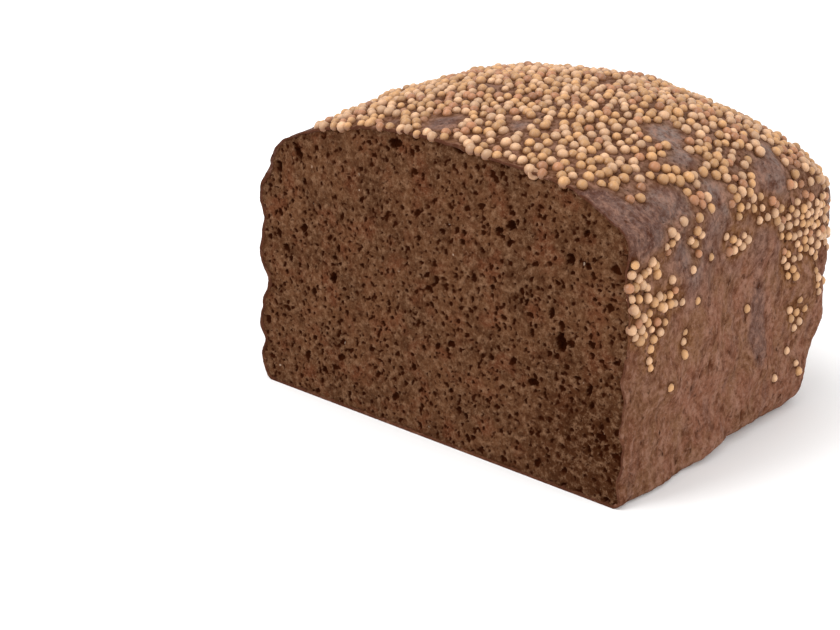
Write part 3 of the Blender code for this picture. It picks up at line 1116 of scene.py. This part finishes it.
class RYELOAF_OT_seeds(bpy.types.Operator):
    """Bake coriander seeds onto the crust"""

    bl_idname = "rye_loaf.seeds"
    bl_label = "Bake On Seeds"

    def execute(self, context):
        shape, look = context.scene.rye_shape, context.scene.rye_seeds
        crust = bpy.data.objects["crust"].data
        holder = bmesh.new()
        holder.from_mesh(crust)
        seeds = lay_seeds(BVHTree.FromBMesh(holder), shape)
        holder.free()
        draw = random.Random(KINDS_START)
        kinds = {kind: [] for kind in KINDS}
        for spot, normal, rise in seeds:
            upright = 1.0 - min(max(normal.z / UPRIGHT_BELOW, 0.0), 1.0)
            # Paler kinds and a lighter tone on the sides are painted light
            weights = [crown + more * upright for crown, more in KINDS.values()]
            kind = draw.choices(tuple(KINDS), weights)[0]
            size = min(max(draw.gauss(1.0, look.unevenness), RADIUS_RANGE[0]), RADIUS_RANGE[1])
            radius = look.radius * size * (1.0 - SIDE_SHRINK * upright)
            proud = radius * draw.uniform(*PROUD) * rise
            tilt = random_turn(draw)
            if kind == "split":
                lean = Matrix.Rotation(draw.uniform(*SPLIT_LEAN), 4, "X")
                spin = Matrix.Rotation(draw.uniform(0.0, math.tau), 4, "Z")
                tilt = facing(normal) @ spin @ lean
            squash = [radius * draw.uniform(*span) for span in SQUASH]
            place = Matrix.Translation(seat(spot, normal, radius, proud)) @ tilt
            place = place @ Matrix.Diagonal((radius, *squash, 1.0))
            kinds[kind].append((place, normal, draw.random() + SIDE_PAINTED_LIGHT * upright))
        kinds["split"].append(self.place_split_seed(look.radius))
        whole, split = seed_mesh(), split_seed_mesh()
        for kind, copies in kinds.items():
            name = "seeds_" + kind
            data = join_copies(name, split if kind == "split" else whole, copies)
            colour = look.pale if kind == "split" else getattr(look, kind)
            add_piece(data, name, seed_material(name, colour, look))
        # Painted shade on the crust right beside each seed
        seeded, contact = seeded_shares(crust, seeds)
        set_attribute(crust, "seeded", seeded)
        set_attribute(crust, "contact", contact)
        return {"FINISHED"}

    def place_split_seed(self, radius):
        """The split seed at the edge of the cut, with its flat face to the front."""
        across, height = SPLIT_SEED_AT
        normal = Vector(SPLIT_SEED_FACES).normalized()
        centre = Vector((across * MM, LOW[1] + SPLIT_SEED_IN * radius, height * MM))
        size = Matrix.Scale(SPLIT_SEED_SIZE * radius, 4)
        return Matrix.Translation(centre) @ facing(normal) @ size, normal, SPLIT_SEED_TONE


def seeded_shares(crust, seeds):
    """How closely seeds cover the crust round each point, and the share of painted shade right
    beside a seed, from how near the next one is.
    """
    near = KDTree(len(seeds))
    for number, (spot, _, _) in enumerate(seeds):
        near.insert(spot, number)
    near.balance()
    found = [near.find_n(Vector(point), SEEDS_ROUND) for point in read_points(crust)]
    distances = np.array([[seed[2] for seed in group] for group in found])
    return blend(distances.sum(axis=1) / SEEDS_ROUND, *SEEDED), blend(distances[:, 0], *SEED_SHADE_REACH)


class Nodes:
    """Short way to add and join the nodes of one material."""

    def __init__(self, name, noises):
        self.material = bpy.data.materials.new(name)
        self.material.use_nodes = True
        self.tree = self.material.node_tree
        self.places = {}
        self.values = {key: self.noise(*numbers) for key, numbers in noises.items()}

    def feed(self, socket, value):
        """Give a socket a node's output, a number or a colour."""
        if isinstance(value, bpy.types.NodeSocket):
            self.tree.links.new(value, socket)
        elif socket.type == "RGBA":
            socket.default_value = (*value, 1.0)
        else:
            socket.default_value = value

    def add(self, kind, inputs, **settings):
        """New node with its settings, and its inputs by name or number."""
        node = self.tree.nodes.new(kind)
        for key, value in settings.items():
            setattr(node, key, value)
        for key, value in inputs.items():
            self.feed(node.inputs[key], value)
        return node

    def place(self, height):
        """Object coordinates, with height counting for more or less."""
        if height not in self.places:
            source = self.add("ShaderNodeTexCoord", {}).outputs["Object"]
            inputs = {"Vector": source, "Scale": (1.0, 1.0, height)}
            self.places[height] = self.add("ShaderNodeMapping", inputs).outputs["Vector"]
        return self.places[height]

    def noise(self, scale, detail, roughness, height):
        """Smooth noise from 0 to 1."""
        return self.add("ShaderNodeTexNoise", {
            "Vector": self.place(height), "Scale": scale, "Detail": detail,
            "Roughness": roughness}).outputs["Fac"]

    def value(self, name):
        """A noise or a worked out value, or else a number stored in the mesh."""
        if name not in self.values:
            node = self.add("ShaderNodeAttribute", {}, attribute_name=name)
            self.values[name] = node.outputs["Fac"]
        return self.values[name]

    def ramp(self, name, low, high, start=0.0, end=1.0):
        """Value moved from the range low to high into start to end, and held there."""
        return self.add("ShaderNodeMapRange", {
            "Value": self.value(name), "From Min": low, "From Max": high,
            "To Min": start, "To Max": end}, clamp=True).outputs["Result"]

    def math(self, operation, first, second):
        """Sum or product of two values."""
        return self.add("ShaderNodeMath", {0: first, 1: second}, operation=operation).outputs[0]

    def mix(self, share, first, second):
        """Mix of two colours."""
        inputs = {0: share, 6: first, 7: second}
        return self.add("ShaderNodeMix", inputs, data_type="RGBA").outputs[2]

    def lay(self, colour, look, layers):
        """Lay colours over a colour, each by what it follows, from where to where, its share."""
        for name, low, high, share, over in layers:
            colour = self.mix(self.ramp(name, low, high, 0.0, share), colour, getattr(look, over))
        return colour

    def finish(self, colour, roughness, specular, relief=()):
        """Give the shader its colour, gloss and layers of relief, and hand over the material."""
        shader = self.tree.nodes["Principled BSDF"]
        inputs = {"Base Color": colour, "Roughness": roughness, "Specular IOR Level": specular}
        under = {}
        for name, depth, strength in relief:
            layer = {"Height": self.value(name), "Distance": depth, "Strength": strength}
            under = {"Normal": self.add("ShaderNodeBump", layer | under).outputs["Normal"]}
        for key, value in (inputs | under).items():
            self.feed(shader.inputs[key], value)
        return self.material


# Noises of each material: scale, detail, roughness, and how much height counts
CRUST_NOISES = {
    "broad": (75.0, 3.0, 0.5, 1.0),
    "patches": (150.0, 5.0, 0.65, 0.75),
    "hues": (110.0, 4.0, 0.6, 0.75),
    "streaks": (170.0, 4.0, 0.6, 0.3),
    "mottle": (290.0, 3.0, 0.6, 0.75),
    "grain": (560.0, 3.0, 0.65, 1.0),
    "fine": (1100.0, 3.0, 0.65, 1.0),
    "burst": (380.0, 2.0, 0.5, 0.75),
}
CRUMB_NOISES = {
    "broad": (90.0, 3.0, 0.6, 1.0),
    "hues": (130.0, 3.0, 0.5, 1.0),
    "mottle": (620.0, 4.0, 0.7, 1.0),
    "fine": (1500.0, 3.0, 0.65, 1.0),
    "bran": (480.0, 1.0, 0.4, 1.0),
}
SEED_NOISES = {"mottle": (1500.0, 2.0, 0.5, 1.0)}

# What the first two colours follow, and where the one ends and the other is full
CROWN_BASE = ("broad", 0.36, 0.56)
SIDE_BASE = ("hues", 0.42, 0.58)
CRUMB_BASE = ("broad", 0.38, 0.62)

# Layers of colour: what each follows, where it starts and is full, its share, its colour
CROWN_LAYERS = (("dust", 0.0, 1.0, 1.0, "crown_grey"),)
SIDE_LAYERS = (
    ("streaks", 0.54, 0.66, 0.62, "side_grey"),
    ("streaks", 0.44, 0.30, 0.50, "side_light"),
    # Grey drips, and a band of painted shade on the right side
    ("cool", 0.0, 1.0, 1.0, "side_grey"),
    # Darker sides near the cut
    ("dusty", 0.8, 0.1, 0.38, "seed_shade_and_dark_crust"),
)
CRUST_LAYERS = (
    ("stuck", 0.0, 1.0, 1.0, "toffee"),
    # Painted shade right beside each seed
    ("contact", 0.0, 1.0, 0.85, "seed_shade_and_dark_crust"),
    ("mottle", 0.48, 0.28, 0.75, "pit_shade_and_grain"),
    ("mottle", 0.53, 0.72, 0.72, "side_light"),
    ("grain", 0.49, 0.30, 0.62, "pit_shade_and_grain"),
    ("grain", 0.52, 0.72, 0.66, "side_light"),
    ("fine", 0.47, 0.30, 0.55, "pit_shade_and_grain"),
    ("fine", 0.55, 0.72, 0.42, "side_light"),
    # Painted shade in the burst dents and in the pits
    ("burst", 0.68, 0.74, 0.8, "pit_shade_and_grain"),
    ("pitted", 0.3, 1.0, 0.8, "pit_shade_and_grain"),
    ("rim", 0.3, 0.8, 1.0, "rim_colour"),
)
CRUMB_LAYERS = (
    ("hues", 0.50, 0.66, 0.8, "crumb_red"),
    # Painted shadow low on the right, then darker crumb next to the crust
    ("patchy_low_right_shade", 0.0, 1.0, 1.0, "crumb_dark_and_shade"),
    ("ragged", 0.45, 0.85, 0.8, "crumb_dark_and_shade"),
    ("mottle", 0.50, 0.74, 1.0, "crumb_light"),
    ("fine", 0.57, 0.82, 1.0, "crumb_light"),
    # Painted shade of small pores as dark specks, and inside each modelled pore
    ("mottle", 0.46, 0.30, 0.65, "pore_shade"),
    ("fine", 0.45, 0.28, 0.7, "pore_shade"),
    ("pore", 0.2, 0.75, 0.96, "pore_shade"),
    ("bran", 0.79, 0.82, 0.7, "fleck"),
)
SEED_LAYERS = (
    # Painted shade in the furrows between the ribs and on each seed's underside, with darker
    # mottling
    ("furrow", 0.3, 1.0, 0.35, "furrow"),
    ("mottle", 0.55, 0.75, 0.25, "furrow"),
    ("sunk", -0.85, 0.22, 0.92, "furrow"),
)

# Values that two others make: how they join, the first, and the second with its range
CRUST_VALUES = {
    "dust": ("MULTIPLY", "dusty", "patches", 0.36, 0.58, 0.0, 1.0),
    "stuck": ("MULTIPLY", "seeded", "crown", 0.2, 0.9, 1.0, 0.6),
    "rim": ("MULTIPLY", "bared", "mottle", 0.35, 0.6, 0.4, 1.0),
}
CRUMB_VALUES = {
    # Painted shadow low on the right, in patches
    "patchy_low_right_shade": ("MULTIPLY", "moist", "hues", 0.35, 0.6, 0.6, 1.0),
    "ragged": ("ADD", "edge", "mottle", 0.3, 0.7, -0.35, 0.35),
}

# Fine relief: what each layer follows, its depth in metres and its strength
DENTS = ("burst", 0.64, 0.75, 1.0, 0.0)
CRUST_RELIEF = (
    ("dents", 0.0006, 1.0), ("mottle", 0.0012, 1.0), ("grain", 0.0007, 1.0), ("fine", 0.0003, 0.8))
CRUMB_RELIEF = (("mottle", 0.0006, 1.0), ("fine", 0.0003, 0.9))
SEED_RELIEF = (("mottle", 0.0001, 1.0),)

# Roughness, as a noise and the range that it makes of its own, and the specular level
CRUST_GLOSS = (("fine", 0.3, 0.7, 0.65, 0.9), 0.03)
CRUMB_GLOSS = (("mottle", 0.3, 0.7, 0.7, 0.95), 0.01)
SEED_GLOSS = (("mottle", 0.3, 0.7, 0.30, 0.48), 0.5)

# Darker and lighter shades of the crumb and of the seeds
CRUMB_SHADES = (0.82, 1.2)
SEED_SHADES = (0.86, 1.38)


def shades(colour, factors):
    """Shades of a colour, no brighter than white."""
    return [[min(factor * value, 1.0) for value in colour] for factor in factors]


def work_out(nodes, recipes):
    """Add to a material the values that two others make."""
    for name, (operation, first, second, *span) in recipes.items():
        nodes.values[name] = nodes.math(operation, nodes.value(first), nodes.ramp(second, *span))


def crust_material(look):
    """Matt rye crust: a dark aubergine crown above warm, mottled and pitted sides, with painted
    shade in the pits, beside each seed and in a band on the right side.
    """
    nodes = Nodes("crust", CRUST_NOISES)
    work_out(nodes, CRUST_VALUES)
    nodes.values["dents"] = nodes.ramp(*DENTS)
    crown = nodes.mix(nodes.ramp(*CROWN_BASE), look.crown_shade, look.crown_colour)
    side = nodes.mix(nodes.ramp(*SIDE_BASE), look.side_colour, look.side_blush)
    crown = nodes.lay(crown, look, CROWN_LAYERS)
    side = nodes.lay(side, look, SIDE_LAYERS)
    colour = nodes.lay(nodes.mix(nodes.value("crown"), side, crown), look, CRUST_LAYERS)
    rough, specular = CRUST_GLOSS
    return nodes.finish(colour, nodes.ramp(*rough), specular, CRUST_RELIEF)


def crumb_material(look):
    """Moist brown crumb with pale flecks, with painted shade inside its pores and a painted shadow
    low on the right.
    """
    nodes = Nodes("crumb", CRUMB_NOISES)
    work_out(nodes, CRUMB_VALUES)
    dark, bright = shades(look.crumb_colour, CRUMB_SHADES)
    colour = nodes.mix(nodes.ramp(*CRUMB_BASE), dark, bright)
    colour = nodes.lay(colour, look, CRUMB_LAYERS)
    rough, specular = CRUMB_GLOSS
    return nodes.finish(colour, nodes.ramp(*rough), specular, CRUMB_RELIEF)


def seed_material(name, colour, look):
    """Husk of a seed with a tone of its own, with painted shade in its furrows and on its
    underside.
    """
    nodes = Nodes(name, SEED_NOISES)
    dark, light = shades(colour, SEED_SHADES)
    husk = nodes.lay(nodes.mix(nodes.value("tone"), dark, light), look, SEED_LAYERS)
    rough, specular = SEED_GLOSS
    return nodes.finish(husk, nodes.ramp(*rough), specular, SEED_RELIEF)


# Lamps: where each stands, its size in metres and its power in watts
LAMPS = {
    "overhead": ((-0.25, -0.25, 1.1), 0.7, 4.6),
    "key": ((-0.35, -0.95, 0.75), 0.4, 5.0),
    "side": ((1.1, 0.1, 0.6), 0.6, 3.2),
}
LAMPS_AIM = (0.0, 0.0, 0.04)
FLOOR_RADIUS = 4.0
FLOOR_SEGMENTS = 96
FLOOR_ROUGHNESS = 0.8
FLOOR_SPECULAR = 0.1
SENSOR_WIDTH = 36.0
NEAREST_SEEN = 0.01


def add_lamp(name, place, size, watts):
    """Soft square lamp that shines at the loaf."""
    light = bpy.data.lights.new(name, "AREA")
    light.shape = "SQUARE"
    light.size = size
    light.energy = watts
    lamp = new_object(name, light)
    lamp.location = place
    lamp.rotation_euler = (Vector(LAMPS_AIM) - Vector(place)).to_track_quat("-Z", "Y").to_euler()


class RYELOAF_OT_stage(bpy.types.Operator):
    """Set the table, the studio lights and the camera"""

    bl_idname = "rye_loaf.stage"
    bl_label = "Set Stage"

    def execute(self, context):
        look = context.scene.rye_stage
        self.add_floor(look)
        self.add_lights(context, look)
        self.add_camera(context, look)
        return {"FINISHED"}

    def add_floor(self, look):
        mesh = bmesh.new()
        bmesh.ops.create_circle(
            mesh, cap_ends=True, segments=FLOOR_SEGMENTS, radius=FLOOR_RADIUS)
        data = finished(mesh, "floor")
        floor = Nodes("floor", {}).finish(look.floor, FLOOR_ROUGHNESS, FLOOR_SPECULAR)
        data.materials.append(floor)
        new_object("floor", data)

    def add_lights(self, context, look):
        world = bpy.data.worlds.new("studio")
        world.use_nodes = True
        sky = world.node_tree.nodes["Background"]
        sky.inputs["Color"].default_value = (1.0, 1.0, 1.0, 1.0)
        sky.inputs["Strength"].default_value = look.sky
        context.scene.world = world
        for name, numbers in LAMPS.items():
            add_lamp(name, *numbers)

    def add_camera(self, context, look):
        data = bpy.data.cameras.new("camera")
        data.lens = look.lens
        data.sensor_width = SENSOR_WIDTH
        data.clip_start = NEAREST_SEEN
        camera = new_object("camera", data)
        back = Vector((
            math.sin(look.azimuth) * math.cos(look.elevation),
            -math.cos(look.azimuth) * math.cos(look.elevation),
            math.sin(look.elevation)))
        target = Vector(look.target) + Vector((0.0, LOW[1], 0.0))
        roll = Matrix.Rotation(look.roll, 4, "Z")
        place = Matrix.Translation(target + back * look.distance)
        camera.matrix_world = place @ facing(back) @ roll
        context.scene.camera = camera
        context.scene.view_settings.view_transform = "Standard"


class RYELOAF_PT_panel(bpy.types.Panel):
    """Pieces of the loaf and their settings"""

    bl_label = "Rye Loaf"
    bl_idname = "RYELOAF_PT_panel"
    bl_space_type = "VIEW_3D"
    bl_region_type = "UI"
    bl_category = "Rye Loaf"

    def draw(self, context):
        layout = self.layout
        for operator in OPERATORS:
            layout.operator(operator.bl_idname)
        for settings in SETTINGS:
            box = layout.box()
            box.label(text=settings[4:].capitalize())
            group = getattr(context.scene, settings)
            for name in group.bl_rna.properties.keys():
                if name not in ("rna_type", "name"):
                    box.prop(group, name)


GROUPS = (LoafShape, CrustLook, CrumbLook, SeedLook, StageLook)
SETTINGS = ("rye_shape", "rye_crust", "rye_crumb", "rye_seeds", "rye_stage")
OPERATORS = (RYELOAF_OT_crust, RYELOAF_OT_crumb, RYELOAF_OT_seeds, RYELOAF_OT_stage)


def register():
    for group, name in zip(GROUPS, SETTINGS):
        bpy.utils.register_class(group)
        setattr(bpy.types.Scene, name, PointerProperty(type=group))
    for cls in (*OPERATORS, RYELOAF_PT_panel):
        bpy.utils.register_class(cls)


def unregister():
    for cls in (RYELOAF_PT_panel, *reversed(OPERATORS)):
        bpy.utils.unregister_class(cls)
    for group, name in zip(reversed(GROUPS), reversed(SETTINGS)):
        delattr(bpy.types.Scene, name)
        bpy.utils.unregister_class(group)


def main():
    register()
    bpy.ops.rye_loaf.crust()
    bpy.ops.rye_loaf.crumb()
    bpy.ops.rye_loaf.seeds()
    bpy.ops.rye_loaf.stage()


if __name__ == "__main__":
    main()
